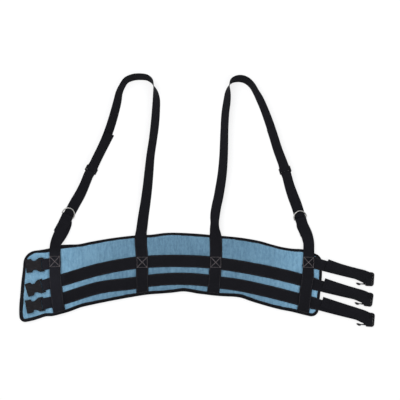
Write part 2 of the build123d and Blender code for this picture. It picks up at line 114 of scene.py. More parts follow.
# the straps that lie on the floor: x, y, lean in degrees
sliderRoutes = {
    "left": [(-388, 103, 0), (-373, 130, 0), (-354, 163.5, 0), (-332, 203, 9), (-308, 245, 28),
             (-296, 271, 36)],
    "right": [(465, 97, 0), (458, 117, 0), (446.5, 153, 0), (435, 192, 0), (418, 236, -22),
              (407, 268, -34)]}
shoulderFree = {
    "left": [(-95, 160, 18), (-88, 205, 26), (-80.5, 262, 33), (-75, 318, 39), (-69.5, 372, 45),
             (-61.5, 425, 46), (-55, 478, 44), (-51, 530, 47), (-50, 566, 53), (-53, 590, 68),
             (-58, 608, 88), (-66, 626, 107), (-79, 636, 115), (-105, 640, 119), (-133, 637, 119),
             (-154, 627, 117), (-167, 608, 117), (-177, 586, 122), (-183, 558, 130),
             (-194, 515, 135), (-207.5, 470, 137), (-222, 430, 139)],
    "right": [(150.5, 138, 41), (151.5, 162, 31), (157.5, 200, 30), (163, 224, 30), (168, 252, 31),
              (176, 305, 35), (180.5, 358, 40), (182.5, 410, 43), (184, 462, 46), (187, 515, 47),
              (193, 560, 51), (196, 588, 63), (200, 611, 88), (209, 626, 108), (226, 633, 120),
              (245, 633, 124), (262, 626, 123), (278, 611, 120), (291.5, 589, 120), (305, 564, 127),
              (320, 530, 130), (336.5, 486, 134), (352, 440, 136), (366, 395, 138)]}
uprights = {"leftInner": shoulderRise["left"], "rightInner": shoulderRise["right"],
            "leftOuter": ringRoutes["left"], "rightOuter": ringRoutes["right"]}
laid = {}  # for each sewn strap: its middle line, the way its width lies, and how far up its face is


# arithmetic on curves and surfaces

def unit(v):
    return v / np.linalg.norm(v, axis=-1, keepdims=True)


def runLength(p):
    # distance from the first point, measured along the points
    return np.concatenate([[0.0], np.cumsum(np.linalg.norm(np.diff(p[:, :3], axis=0), axis=1))])


def at(places, p):
    # the points of a line at these lengths along it
    s = runLength(p)
    return np.stack([np.interp(places, s, column) for column in p.T], -1)


def counted(p, count):
    # the same line as this many points, evened out by length
    return at(np.linspace(0, runLength(p)[-1], count), p)


def evenly(p, step):
    return counted(p, max(int(round(runLength(p)[-1] / step)), 2) + 1)


def eased(share):
    # 0 to 1 with a level start and finish: 3 t^2 - 2 t^3
    return share**2 * (3 - 2 * share)


def closed(p):
    return np.concatenate([p, p[:1]])


def cubic(p, t, count):
    # a Hermite cubic between each two points, whose slopes come from the neighbouring points
    slope = np.gradient(p, t, axis=0)
    fine = np.linspace(0, t[-1], count)
    k = np.clip(np.searchsorted(t, fine, side="right") - 1, 0, len(t) - 2)
    h = (t[k + 1] - t[k])[:, None]
    u = (fine - t[k])[:, None] / h
    return ((2 * u**3 - 3 * u**2 + 1) * p[k] + (u**3 - 2 * u**2 + u) * h * slope[k]
            + (3 * u**2 - 2 * u**3) * p[k + 1] + (u**3 - u**2) * h * slope[k + 1])


def smoothLine(points, step):
    p = np.array(points, float)
    t = runLength(p[:, :2])
    return evenly(cubic(p, t, int(t[-1] / step * 3) + 2), step)


def smoothSide(profile):
    # rounds a given side profile, its points kept
    p = np.array(profile, float)
    return cubic(p, runLength(p), len(p) * 6)


class Seat:
    # a tilted working plane: x along the heading, y across it, z away from its upper face
    def __init__(self, spot, degrees, height, lean=0.0):
        a, b = math.radians(degrees), math.radians(lean)
        self.origin = np.array([spot[0], spot[1], height], float)
        self.along = np.array([math.cos(a), math.sin(a), 0.0])
        level = np.array([-math.sin(a), math.cos(a), 0.0])
        self.across = level * math.cos(b) + np.array([0, 0, math.sin(b)])
        self.up = np.cross(self.along, self.across)

    def put(self, p):
        p = np.asarray(p, float)
        return self.origin + p @ np.stack([self.along, self.across, self.up])

    def fold(self, profile):
        # webbing folded to this side profile
        return evenly(self.side(smoothSide(profile)), webbing["foldStep"])

    def side(self, profile):
        # a side profile of (x, z) points, in the middle of the width
        q = np.array(profile, float)
        return self.put(np.stack([q[:, 0], 0 * q[:, 0], q[:, 1]], -1))


def arcPoints(centre, radius, start, stop, count):
    a = np.radians(np.linspace(start, stop, count))
    return [(centre[0] + radius * math.cos(t), centre[1] + radius * math.sin(t)) for t in a]


def heading(path):
    return unit(np.gradient(path, axis=0))


def facing(path, across):
    # the upward normal of webbing along path
    up = np.cross(heading(path), across)
    return up * np.sign(up[:, 2:] + 1e-9)


def routeFrames(route, inward=1, step=webbing["rowStep"]):
    # rows of x, y, z, lean become a middle line and, at each point, the way the width lies
    line = smoothLine(route, step)
    path, lean = line[:, :3], np.radians(line[:, 3])
    along = heading(path)
    level = unit(np.stack([-along[:, 1], along[:, 0], 0 * lean], -1)) * inward
    across = level * np.cos(lean)[:, None] + np.array([0, 0, 1.0]) * np.sin(lean)[:, None]
    across = unit(across - along * np.sum(along * across, -1, keepdims=True))
    return path, across


# meshes

def placed(name, data):
    thing = bpy.data.objects.new(name, data)
    bpy.context.scene.collection.objects.link(thing)
    return thing


def meshObject(name, points, faces, uv=None):
    mesh = bpy.data.meshes.new(name)
    mesh.from_pydata((points * mm).tolist(), [], faces)
    if uv is not None:
        layer = mesh.uv_layers.new(name="Cloth")
        layer.data.foreach_set("uv", (uv * mm).astype(np.float32).ravel())
    bm = bmesh.new()
    bm.from_mesh(mesh)
    bmesh.ops.recalc_face_normals(bm, faces=bm.faces)
    bm.to_mesh(mesh)
    bm.free()
    mesh.polygons.foreach_set("use_smooth", [True] * len(mesh.polygons))
    return placed(name, mesh)


def gridFaces(rows, cols, closeRows=False, closeCols=False):
    r, c = np.meshgrid(np.arange(rows - (not closeRows)), np.arange(cols - (not closeCols)), indexing="ij")
    r, c = r.ravel(), c.ravel()
    r2, c2 = (r + 1) % rows, (c + 1) % cols
    faces = np.stack([r * cols + c, r * cols + c2, r2 * cols + c2, r2 * cols + c], -1)
    corners = np.stack([np.stack([r + i, c + j], -1) for i, j in ((0, 0), (0, 1), (1, 1), (1, 0))], 1)
    return faces, corners


def tubeMesh(name, grid, closeRows=False):
    # grid[row, column] holds the points of a section carried along a line; its columns close
    rows, cols = grid.shape[:2]
    faces, corners = gridFaces(rows, cols, closeRows, True)
    ringStep = np.linalg.norm(np.roll(grid, -1, 1) - grid, axis=-1).mean(0)
    around = np.concatenate([[0], np.cumsum(ringStep)])
    middle = grid.mean(1)
    if closeRows:
        middle = closed(middle)
    along = runLength(middle)
    uv = np.stack([around[corners[..., 1]], along[corners[..., 0]]], -1).reshape(-1, 2)
    faces = faces.tolist()
    if not closeRows:
        faces.append(list(range(cols)))
        faces.append([(rows - 1) * cols + k for k in range(cols)])
        ends = np.stack([around[:cols], np.zeros(cols)], -1)
        uv = np.concatenate([uv, ends, ends + [0, along[-1]]])
    return meshObject(name, grid.reshape(-1, 3), faces, uv)


def webSection(width, thick):
    # a flat section with rounded selvedges, counted round from the left end of its upper side
    r = thick / 2
    flat = np.linspace(-(width / 2 - r), width / 2 - r, 15)
    fromEdge = width / 2 - np.abs(flat)
    (bead, beadWidth), (groove, grooveWidth) = webbing["bead"], webbing["groove"]
    level = 1 + bead * (fromEdge < beadWidth) - groove * (fromEdge < grooveWidth)
    turn = np.radians([60, 30, 0, -30, -60])
    right = np.stack([width / 2 - r + r * np.cos(turn), r * np.sin(turn)], -1)
    top = np.stack([flat, r * level], -1)
    return np.concatenate([top, right, -top, -right])


def pressed(path, spans):
    # webbing sewn flat lies a little wider: 1 on each span of x or y, easing to 0 beyond both its ends
    share = np.zeros(len(path))
    for axis, start, stop in spans:
        inside = np.minimum(path[:, axis] - start, stop - path[:, axis])
        share = np.maximum(share, np.clip(inside / webbing["ease"] + 1, 0, 1))
    return eased(share)


def ribbon(name, path, across, spans=(), ripple=0.0, phase=0.0):
    # webbing: its section carried along path, its width lying along across, its faces rippled by two sines
    along = heading(path)
    across = unit(across - along * np.sum(along * across, -1, keepdims=True))
    up = np.cross(along, across)
    section = webSection(webbing["width"], webbing["thick"])
    wider = 1 + (webbing["pressed"] - 1) * pressed(path, spans)
    sideways = (wider[:, None] * across)[:, None]
    grid = path[:, None] + section[None, :, :1] * sideways + section[None, :, 1:] * up[:, None]
    if ripple:
        wave = webbing["ripple"]
        s = runLength(path)[:, None]
        lengthwise = np.sin(s / wave["along"][0] + phase) * np.sin(s / wave["along"][1] + 2 * phase)
        crosswise = wave["least"] + wave["more"] * np.sin(section[None, :, 0] / wave["across"] + phase)
        grid = grid + ripple * (lengthwise * crosswise)[..., None] * up[:, None]
    return tubeMesh(name, grid)


def raisedTo(flat, height):
    return np.concatenate([flat, np.broadcast_to(height, flat.shape[:-1])[..., None]], -1)


def smoothed(thing):
    smooth = thing.modifiers.new("smooth", "SUBSURF")
    smooth.levels = smooth.render_levels = 1


def finishPiece(thing, slotName, look, *nodes):
    thing.data.materials.clear()
    thing.data.materials.append(look)
    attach(thing, "belt")
    if nodes:
        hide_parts(*nodes)
    return thing


# materials: a small class wraps a socket, so that shader maths reads as arithmetic

def operation(kind):
    # a Math node as a Python operator, and with its two values the other way round
    return (lambda one, other: one.maths(kind, one, other)), (lambda one, other: one.maths(kind, other, one))


class Wire:
    def __init__(self, look, socket):
        self.look = look
        self.socket = socket

    def maths(self, kind, first, second=None):
        inputs = {0: first} if second is None else {0: first, 1: second}
        return self.look.node("ShaderNodeMath", {"operation": kind}, inputs)

    __add__, __radd__ = operation("ADD")
    __sub__, __rsub__ = operation("SUBTRACT")
    __mul__, __rmul__ = operation("MULTIPLY")
    __truediv__, __rtruediv__ = operation("DIVIDE")
    __pow__, __rpow__ = operation("POWER")

    def sine(self):
        return self.maths("SINE", self)

    def size(self):
        return self.maths("ABSOLUTE", self)

    def floor(self):
        return self.maths("FLOOR", self)

    def above(self, edge, soft):
        # 0 below edge, 1 above it, with a soft step between
        return self.look.node("ShaderNodeMapRange", {"interpolation_type": "SMOOTHSTEP"},
                              {"Value": self, "From Min": edge - soft, "From Max": edge + soft})


class Look:
    def __init__(self, name, colour, roughness, **fixed):
        self.material = bpy.data.materials.new(name)
        self.material.use_nodes = True
        self.tree = self.material.node_tree
        self.shader = self.tree.nodes["Principled BSDF"]
        self.put("Base Color", (*colour, 1))
        self.put("Roughness", roughness)
        for key, value in fixed.items():
            self.put(key.replace("_", " "), value)
        self.material.diffuse_color = (*colour, 1)

    def put(self, key, value, node=None):
        socket = (node or self.shader).inputs[key]
        if isinstance(value, Wire):
            self.tree.links.new(value.socket, socket)
        else:
            socket.default_value = value

    def node(self, kind, settings=None, inputs=None, out=0):
        made = self.tree.nodes.new(kind)
        for key, value in (settings or {}).items():
            setattr(made, key, value)
        for key, value in (inputs or {}).items():
            self.put(key, value, made)
        return Wire(self, made.outputs[out])

    def place(self):
        return self.node("ShaderNodeTexCoord", out="Object")

    def split(self, vector):
        # the three numbers of a vector
        made = self.tree.nodes.new("ShaderNodeSeparateXYZ")
        self.put(0, vector, made)
        return [Wire(self, made.outputs[k]) for k in range(3)]

    def noise(self, vector, scale, detail=2.0):
        return self.node("ShaderNodeTexNoise", None, {"Vector": vector, "Scale": scale, "Detail": detail})

    def streaks(self, vector, sizes, detail=2.0):
        # noise stretched by a different amount along each axis
        drawn = self.node("ShaderNodeMapping", {"vector_type": "POINT"}, {"Vector": vector, "Scale": sizes})
        return self.noise(drawn, 1.0, detail)

    def blend(self, factor, one, two):
        # a Mix node takes its colours at inputs 6 and 7 and gives one at output 2
        one, two = (value if isinstance(value, Wire) else (*value, 1) for value in (one, two))
        return self.node("ShaderNodeMix", {"data_type": "RGBA"}, {0: factor, 6: one, 7: two}, 2)

    def bump(self, height, depth, strength=1.0):
        self.put("Normal", self.node("ShaderNodeBump", None,
                                     {"Height": height, "Distance": depth * mm, "Strength": strength}))


def clothLook():
    # plain woven polyester, slubbed, with crease streaks painted in as shade; its blue is painted lighter
    # towards the belt's ends and darker in the middle, as painted light and shade
    # the end colours are lighter copies of the middle ones: painted light at the ends, painted shade in the
    # middle
    yarn = {"pitch": 0.9, "dark": (0.056, 0.137, 0.216), "light": (0.110, 0.229, 0.328),
            "litEndDark": (0.105, 0.240, 0.365), "litEndLight": (0.185, 0.362, 0.505),
            "middle": 0.04, "reach": 0.42}
    look = Look("blueCloth", yarn["light"], 0.82, Sheen_Weight=0.22, Sheen_Roughness=0.5)
    here = look.place()
    x, y, _ = look.split(here)
    # painted light and shade: the base colour blends from the darker middle colours to the lighter end
    # colours as x moves away from the middle
    paintedLightTowardEnds = ((x - yarn["middle"]) / yarn["reach"]).size() ** 3
    # crease streaks: a bump, and also painted into the base colour as crease shade
    creaseShadeAndBump = look.streaks(here, (130, 16, 10), 3.0)
    turn = 2 * math.pi / (yarn["pitch"] * mm)
    warp = (x * turn).sine()
    weft = (y * turn).sine()
    slub = look.streaks(here, (900, 70, 70), 3.0)
    cross = look.streaks(here, (60, 700, 60))
    patch = look.noise(here, 9.0, 3.0)
    mottle = look.streaks(here, (170, 90, 90))
    weave = warp * weft
    shade = 0.20 * slub + 0.10 * cross + 0.16 * patch + 0.30 * creaseShadeAndBump + 0.24 * mottle + 0.06 * weave
    shade = shade.above(0.5, 0.13)
    look.put("Base Color", look.blend(paintedLightTowardEnds, look.blend(shade, yarn["dark"], yarn["light"]),
                                      look.blend(shade, yarn["litEndDark"], yarn["litEndLight"])))
    look.put("Roughness", 0.74 + 0.16 * slub)
    look.bump(weave * 0.3 + slub * 0.7 + cross * 0.5 + creaseShadeAndBump * 2.2, 0.4, 0.8)
    return look.material


def liningLook():
    # fine dark knit: two sets of ribs that cross, under a little fuzz
    knit = {"pitch": 1.6, "dark": (0.012, 0.012, 0.014), "light": (0.045, 0.045, 0.05)}
    look = Look("liningCloth", knit["light"], 0.9, Sheen_Weight=0.3)
    here = look.place()
    x, y, _ = look.split(here)
    turn = 2 * math.pi / (knit["pitch"] * mm)
    mesh = ((x + 0.5 * y) * turn).sine() * ((x - 0.5 * y) * turn).sine()
    fuzz = look.noise(here, 900.0, 3.0)
    look.put("Base Color", look.blend(mesh.above(0.0, 0.5), knit["dark"], knit["light"]))
    look.bump(mesh * 0.6 + fuzz * 0.5, 0.3, 0.7)
    return look.material


def webLook(name, dark, light, rib, depth):
    # webbing: picks, staggered by half, times warp ribs, paler on the crowns, and painted paler at the left
    # end as painted light
    paintedLitEnd = {"beyond": 0.372, "below": 0.03, "dark": 1.9, "light": 1.75}
    look = Look(name, light, 0.75, Specular_IOR_Level=0.06, Sheen_Weight=0.01, Sheen_Roughness=0.5)
    u, v, _ = look.split(look.node("ShaderNodeUVMap", {"uv_map": "Cloth"}))
    across = u / (rib * mm)
    along = v / (rib * 1.25 * mm)
    stagger = across.floor() * 0.5
    warp = (across * math.pi).sine().size()
    pick = ((along + stagger) * math.pi).sine().size()
    weave = (warp ** 0.6) * (pick ** 0.7)
    here = look.place()
    fuzz = look.noise(here, 1400.0, 2.0)
    patch = look.noise(here, 22.0, 4.0)
    tone = 0.55 * weave + 0.25 * fuzz + 0.25 * patch
    x, y, _ = look.split(here)
    # painted light: webbing left of x = -372 mm and below y = 30 mm is blended to paler copies of its
    # colours
    end = (x * -1.0).above(paintedLitEnd["beyond"], 0.012) * (y * -1.0).above(-paintedLitEnd["below"], 0.03)
    tone = tone.above(0.52, 0.34)
    paler = look.blend(tone, [k * paintedLitEnd["dark"] for k in dark], [k * paintedLitEnd["light"] for k in light])
    look.put("Base Color", look.blend(end, look.blend(tone, dark, light), paler))
    look.put("Roughness", 0.60 + 0.22 * fuzz)
    look.bump(weave + 0.25 * fuzz, depth, 0.9)
    return look.material


def plasticLook():
    # moulded plastic: fine grain, with long scuffs a little paler and rougher
    moulded = {"colour": (0.0054, 0.0048, 0.0062), "scuffed": (0.0145, 0.0132, 0.0158)}
    look = Look("blackPlastic", moulded["colour"], 0.42, Specular_IOR_Level=0.16)
    here = look.place()
    grain = look.noise(here, 1600.0, 3.0)
    scuff = look.streaks(here, (70, 260, 120), 4.0)
    look.put("Base Color", look.blend(scuff.above(0.62, 0.16), moulded["colour"], moulded["scuffed"]))
    look.put("Roughness", 0.34 + 0.12 * grain + 0.14 * scuff)
    look.bump(grain, 0.06, 0.6)
    return look.material


def steelLook():
    # nickel plate: finely brushed, dulled in patches
    plated = {"flat": (0.72, 0.71, 0.70), "bright": (0.40, 0.39, 0.375), "dull": (0.23, 0.222, 0.21)}
    look = Look("nickelWire", plated["flat"], 0.2, Metallic=1.0)
    here = look.place()
    brushed = look.noise(here, 420.0, 4.0)
    tarnish = look.noise(here, 60.0, 3.0)
    look.put("Base Color", look.blend(tarnish.above(0.55, 0.2), plated["bright"], plated["dull"]))
    look.put("Roughness", 0.14 + 0.16 * brushed + 0.08 * tarnish)
    look.bump(brushed, 0.03, 0.5)
    return look.material


def threadLook(name, dark, light):
    # thread: its twist and its unevenness as two noises
    look = Look(name, light, 0.6, Sheen_Weight=0.2)
    here = look.place()
    ply = look.noise(here, 2600.0, 1.0)
    tone = look.noise(here, 90.0, 2.0)
    look.put("Base Color", look.blend((0.6 * ply + 0.4 * tone).above(0.5, 0.2), dark, light))
    look.bump(ply, 0.12, 0.8)
    return look.material


looks = {
    "cloth": clothLook(),
    "lining": liningLook(),
    "web": webLook("blackWebbing", (0.0018, 0.0019, 0.0027), (0.0098, 0.0098, 0.0132), 1.25, 0.30),
    "tape": webLook("bindingTape", (0.0014, 0.0015, 0.0021), (0.0066, 0.0066, 0.0084), 0.8, 0.16),
    "plastic": plasticLook(),
    "steel": steelLook(),
    "boxThread": threadLook("boxThread", (0.14, 0.119, 0.127), (0.23, 0.200, 0.208)),
    "seamThread": threadLook("seamThread", (0.035, 0.031, 0.034), (0.095, 0.086, 0.092))}
print("materials made:", len(looks))


# the belt's outline, and the sheet of points inside it

def outlineSides(step=3.0):
    # the four sides, top first and then clockwise; each ends halfway round its rounded corner
    c, r = belt["corners"], belt["radii"]
    routes = ([c["nw"], *belt["upper"], c["ne"]], [c["ne"], *belt["right"], c["se"]],
              [c["se"], *belt["lower"][::-1], c["sw"]], [c["sw"], *belt["left"][::-1], c["nw"]])
    sides = [smoothLine(route, step) for route in routes]
    radii = [r["ne"], r["se"], r["sw"], r["nw"]]
    for k, radius in enumerate(radii):
        arriving, leaving = sides[k], sides[(k + 1) % 4]
        corner = leaving[0]
        farA, farB = (np.linalg.norm(side - corner, axis=1) for side in (arriving, leaving))
        back = unit(arriving[np.argmin(np.abs(farA - radius))] - corner)
        ahead = unit(leaving[np.argmin(np.abs(farB - radius))] - corner)
        half = 0.5 * math.acos(float(np.dot(back, ahead)))
        trim = radius / math.tan(half)
        centre = corner + unit(back + ahead) * radius / math.sin(half)
        start, stop = corner + back * trim - centre, corner + ahead * trim - centre
        a0 = math.atan2(start[1], start[0])
        sweep = (math.atan2(stop[1], stop[0]) - a0 + math.pi) % (2 * math.pi) - math.pi
        a = a0 + sweep * np.linspace(0, 1, 13)
        arc = centre + radius * np.stack([np.cos(a), np.sin(a)], -1)
        sides[k] = np.concatenate([arriving[farA > trim], arc[:7]])
        sides[(k + 1) % 4] = np.concatenate([arc[6:], leaving[farB > trim]])
    return sides


def inwards(loop):
    # the way in from the rim at each point of a closed loop
    along = unit(np.roll(loop, -1, 0) - np.roll(loop, 1, 0))
    return np.stack([along[:, 1], -along[:, 0]], -1)


def patch(inset, columns, rows):
    # a Coons patch: the four sides blended across, so that its rows follow the belt's curve
    sides = outlineSides()
    lengths = [len(side) - 1 for side in sides]
    loop = np.concatenate([side[:-1] for side in sides])
    loop = closed(loop + inwards(loop) * inset)
    starts = np.concatenate([[0], np.cumsum(lengths)])
    top, right, bottom, left = (loop[starts[k]:starts[k + 1] + 1] for k in range(4))
    top, bottom = counted(top, columns), counted(bottom[::-1], columns)
    left, right = counted(left, rows), counted(right[::-1], rows)
    u = np.linspace(0, 1, columns)[:, None, None]
    v = np.linspace(0, 1, rows)[None, :, None]
    return ((1 - v) * bottom[:, None] + v * top[:, None] + (1 - u) * left[None] + u * right[None]
            - (1 - u) * (1 - v) * bottom[0] - u * (1 - v) * bottom[-1]
            - (1 - u) * v * top[0] - u * v * top[-1])


def slabMesh(name, top, bottom):
    # two sheets of points, (columns, rows, 3), joined round their edges
    columns, rows = top.shape[:2]
    count = columns * rows
    faces, _ = gridFaces(columns, rows)
    rim = np.concatenate([np.arange(columns) * rows, (columns - 1) * rows + np.arange(1, rows),
                          np.arange(columns - 2, -1, -1) * rows + rows - 1, np.arange(rows - 2, 0, -1)])
    after = np.roll(rim, -1)
    side = np.stack([rim, after, after + count, rim + count], -1)
    faces = np.concatenate([faces, faces[:, ::-1] + count, side])
    return meshObject(name, np.concatenate([top.reshape(-1, 3), bottom.reshape(-1, 3)]), faces.tolist())


def nearLine(points, line):
    # distance in plan from each point to a line of points
    gap = points[..., None, :2] - line[None, None, :, :2]
    return np.sqrt((gap**2).sum(-1)).min(-1)


# belt body: a padded blue panel, its lining and the tape round the rim

pad = {"columns": 250, "rows": 60, "inset": 0.8, "rimHeight": 6.6, "heldHeight": 7.7, "rimReach": 9,
       "loft": 0.9, "strapHalf": 19.5, "strapStep": 4.0, "seamReach": 6, "swell": 3.6, "fill": 0.5}
clothFrames = 20
cloth = {"quality": 8, "vertex_group_mass": "held", "use_pressure": True, "uniform_pressure_force": 4.0,
         "shrink_min": -0.035, "mass": 0.2, "tension_stiffness": 20, "compression_stiffness": 20,
         "bending_stiffness": 0.4}
lining = {"columns": 200, "rows": 46, "inset": 3.0, "gap": 0.1, "lifted": 0.9, "clear": (4, 0.3),
          "quilt": (0.16, 0.12, 11), "fill": 0.2}
binding = {"step": 2.5, "widths": {"top": 9.4, "bottom": 12.0, "left": 11.0, "right": 10.5},
           "wedge": {"middle": -388.0, "half": 64.0, "extra": 6.0},
           "leftFoot": {"from": -40.0, "reach": 90.0, "extra": 3.6},
           "under": {"leftOuter": 2.9, "leftInner": 1.45, "rightInner": 1.45, "rightOuter": 2.9},
           "tucked": (3.0, 8), "underHalf": 22.0, "underEase": 3.0, "waver": ((0.5, 29), (0.3, 7.7)),
           "pucker": 0.22, "puckerLength": 2.6}


def fromRim(flat):
    # how far each point is from the rim, and how wide the tape is there
    rim, inward = rimLoop(3.0)
    gaps = np.sqrt(((flat[..., None, :] - rim) ** 2).sum(-1))
    return gaps.min(-1), bindingWidth(rim, inward)[gaps.argmin(-1)]


def makePad():
    # upper side: held down along every seam and at the rim, and between them raised by a sum of slow sines
    flat = patch(pad["inset"], pad["columns"], pad["rows"])
    toRim, hem = fromRim(flat)
    straps = [smoothLine(line, pad["strapStep"]) for line in (*bandLines.values(), *uprights.values())]
    toStrap = np.min([nearLine(flat, line) for line in straps], axis=0)
    x, y = flat[..., 0], flat[..., 1]
    seed = (0.25 * np.sin(x / 9 + 2 * np.sin(y / 31)) + 0.2 * np.sin(x / 23 + y / 17)
            + 0.15 * np.sin(x / 5.3 - y / 40))
    seam = np.minimum(toStrap - pad["strapHalf"], toRim - hem)
    loose = np.clip(seam / pad["seamReach"], 0, 1)
    height = pad["heldHeight"] + loose * (pad["loft"] + seed)
    slope = pad["rimHeight"] + (pad["heldHeight"] - pad["rimHeight"]) * toRim / pad["rimReach"]
    height = np.where(toRim < pad["rimReach"], slope, height)
    thing = slabMesh("padPanel", raisedTo(flat, height), raisedTo(flat, belt["lining"]))
    count = height.size
    held = np.concatenate([np.flatnonzero(seam.ravel() <= 0.5), np.arange(count, 2 * count)])
    inflate(thing, held)
    smoothed(thing)
    finishPiece(thing, "blue_cloth", looks["cloth"], "foam_pad", "face_panel")


def coordinates(mesh):
    flat = np.empty(len(mesh.vertices) * 3)
    mesh.vertices.foreach_get("co", flat)
    return flat


def inflate(thing, held):
    # pressure swells the cloth between its seams, and a little slack makes it pucker beside them;
    # each move of length d is cut down to cap * tanh(d / cap)
    group = thing.vertex_groups.new(name="held")
    group.add([int(k) for k in held], 1.0, "REPLACE")
    rest = coordinates(thing.data)
    swell = thing.modifiers.new("swell", "CLOTH")
    for key, value in cloth.items():
        setattr(swell.settings, key, value)
    swell.settings.effector_weights.gravity = 0
    swell.point_cache.frame_end = clothFrames
    for k in range(1, clothFrames + 1):
        bpy.context.scene.frame_set(k)
    swollen = coordinates(thing.evaluated_get(bpy.context.evaluated_depsgraph_get()).data)
    thing.modifiers.remove(swell)
    shift = (swollen - rest).reshape(-1, 3)
    size = np.linalg.norm(shift, axis=1, keepdims=True)
    cap = pad["swell"] * mm
    shift *= cap * np.tanh(size / cap) / np.maximum(size, 1e-9)
    raised = np.percentile(shift[:, 2], [5, 50, 95, 100]) / mm
    print("padding swells by", np.round(raised, 2).tolist(), "mm")
    thing.data.vertices.foreach_set("co", rest + shift.ravel())
    thing.data.update()
    bpy.context.scene.frame_set(1)


def makeLining():
    # lower side: sin(x) sin(y) quilting, lifted clear of the tape all round the rim
    flat = patch(lining["inset"], lining["columns"], lining["rows"])
    x, y = flat[..., 0], flat[..., 1]
    toRim, hem = fromRim(flat)
    reach, start = lining["clear"]
    clear = np.clip((toRim - hem) / reach - start, 0, 1)
    level, wave, length = lining["quilt"]
    quilt = level + wave * np.sin(x / length) * np.sin(y / length)
    bottom = raisedTo(flat, lining["lifted"] * (1 - clear) + quilt * clear)
    thing = slabMesh("liningPanel", raisedTo(flat, belt["lining"] - lining["gap"]), bottom)
    finishPiece(thing, "lining_cloth", looks["lining"], "lining")


def rimLoop(step):
    # the rim as one closed loop, and the way inwards at each of its points
    loop = np.concatenate([side[:-1] for side in outlineSides()])
    line = evenly(closed(loop), step)[:-1]
    return line, inwards(line)


def bindingWidth(line, inward):
    # a width for each side, weighted by the square of how far that side faces inwards; more of the tape
    # shows beside the left ring strap and at the foot of the left end
    w, wedge, foot = binding["widths"], binding["wedge"], binding["leftFoot"]
    x, y = inward[:, 0], inward[:, 1]
    beside = np.clip(1 - np.abs(line[:, 0] - wedge["middle"]) / wedge["half"], 0, 1)
    top = w["top"] + wedge["extra"] * beside
    left = w["left"] + foot["extra"] * np.clip((foot["from"] - line[:, 1]) / foot["reach"], 0, 1)
    return (top * np.clip(-y, 0, 1)**2 + w["bottom"] * np.clip(y, 0, 1)**2
            + left * np.clip(x, 0, 1)**2 + w["right"] * np.clip(-x, 0, 1)**2)


def strapsUnder(line, inward):
    # how far the lower ends of the uprights, tucked in under the tape, lift it
    lift = np.zeros(len(line))
    spacing, count = binding["tucked"]
    for name, thickness in binding["under"].items():
        gap = nearLine(line[:, None], smoothLine(uprights[name], spacing)[:count])[:, 0]
        step = np.clip((binding["underHalf"] - gap) / binding["underEase"], 0, 1)
        lift = np.maximum(lift, thickness * eased(step))
    return lift * (inward[:, 1] > 0.5)


def makeBinding():
    # tape folded over the rim: share of the width, fixed inset, height, share of the lift; out, then back
    profile = np.array([
        (1, 0, 7.75, 1), (1, 0, 8.35, 1), (0.8, 0, 8.5, 1), (0.5, 0, 8.6, 1), (0.2, 1, 8.5, 0.95),
        (0, 1.2, 8.1, 0.8), (0, 0.4, 7.2, 0.4), (0, 0, 5.6, 0), (0, 0, 2.6, 0), (0, 0.3, 1.0, 0),
        (0, 1.3, 0.25, 0), (0.3, 1, 0.12, 0), (0.7, 0, 0.14, 0), (1, 0, 0.16, 0), (1, 0, 0.7, 0),
        (0.5, 0, 0.75, 0), (0, 2, 0.9, 0), (0, 1.0, 1.6, 0), (0, 0.85, 3, 0), (0, 0.85, 5.6, 0),
        (0, 1.3, 7.0, 0.4), (0, 2.2, 7.6, 0.9), (0.5, 0, 7.85, 1)])
    line, inward = rimLoop(binding["step"])
    s = runLength(line)
    width = bindingWidth(line, inward)
    for size, length in binding["waver"]:
        width = width + size * np.sin(s / length)
    width[-1] = width[0]
    depth = profile[None, :, 0] * width[:, None] + profile[None, :, 1]
    outer = np.arange(len(profile)) < 8
    pucker = binding["pucker"] * np.sin(s / binding["puckerLength"]) * np.sin(s / 43 + 1)
    lift = strapsUnder(line, inward)
    height = profile[None, :, 2] + pucker[:, None] * outer[None] + lift[:, None] * profile[None, :, 3]
    flat = line[:, None] + inward[:, None] * depth[..., None]
    thing = tubeMesh("edgeBinding", raisedTo(flat, height), closeRows=True)
    smoothed(thing)
    finishPiece(thing, "binding_tape", looks["tape"], "edge_binding")


makePad()
makeLining()
makeBinding()
print("belt body made")


# the three rows of webbing, folded round the sockets' bars and the plugs' bars; the upper row's two
# ends are separate lengths

socketHeight = belt["top"] + 2 * webbing["gap"] + 5.0  # of the middle of its thickness, like the others
plugHeight = 3.7
webs = {"tabReach": 46.0, "foldReach": 16.0, "slotReach": 6.0, "turn": 24.0, "slide": 2.0,
        "wide": (26.0, 14.0), "bow": ((0, 0), (0.3, 1.6), (0.55, 3.4), (0.8, 5.2), (1, 3.0)),
        "tails": {"upper": (14, 7.0, 3.0), "middle": (0, 11.0, 1.3), "lower": (0, 11.5, 0.9)},
        "tailLift": (1.6, 0.8, 0.5), "flat": (-370, 488), "floorGap": 0.3, "least": 0.15, "bend": 3.05}


def tabFold(seat):
    # from the free end of the upper layer, round the bar, and back along the lower layer
    reach = webs["tabReach"]
    bend = arcPoints((0, 0), webs["bend"], 80, -80, 13)
    profile = ([(-reach, -2.8), (-30, -2.8), (-21, -2.7), (-16, -1.9), (-10, 0.2), (-5, 2.0), (-2, 2.8)]
               + bend + [(-3, -3.3), (-9, -3.9), (-18, -4.35), (-reach + 4, -4.35)])
    return seat.fold(profile)


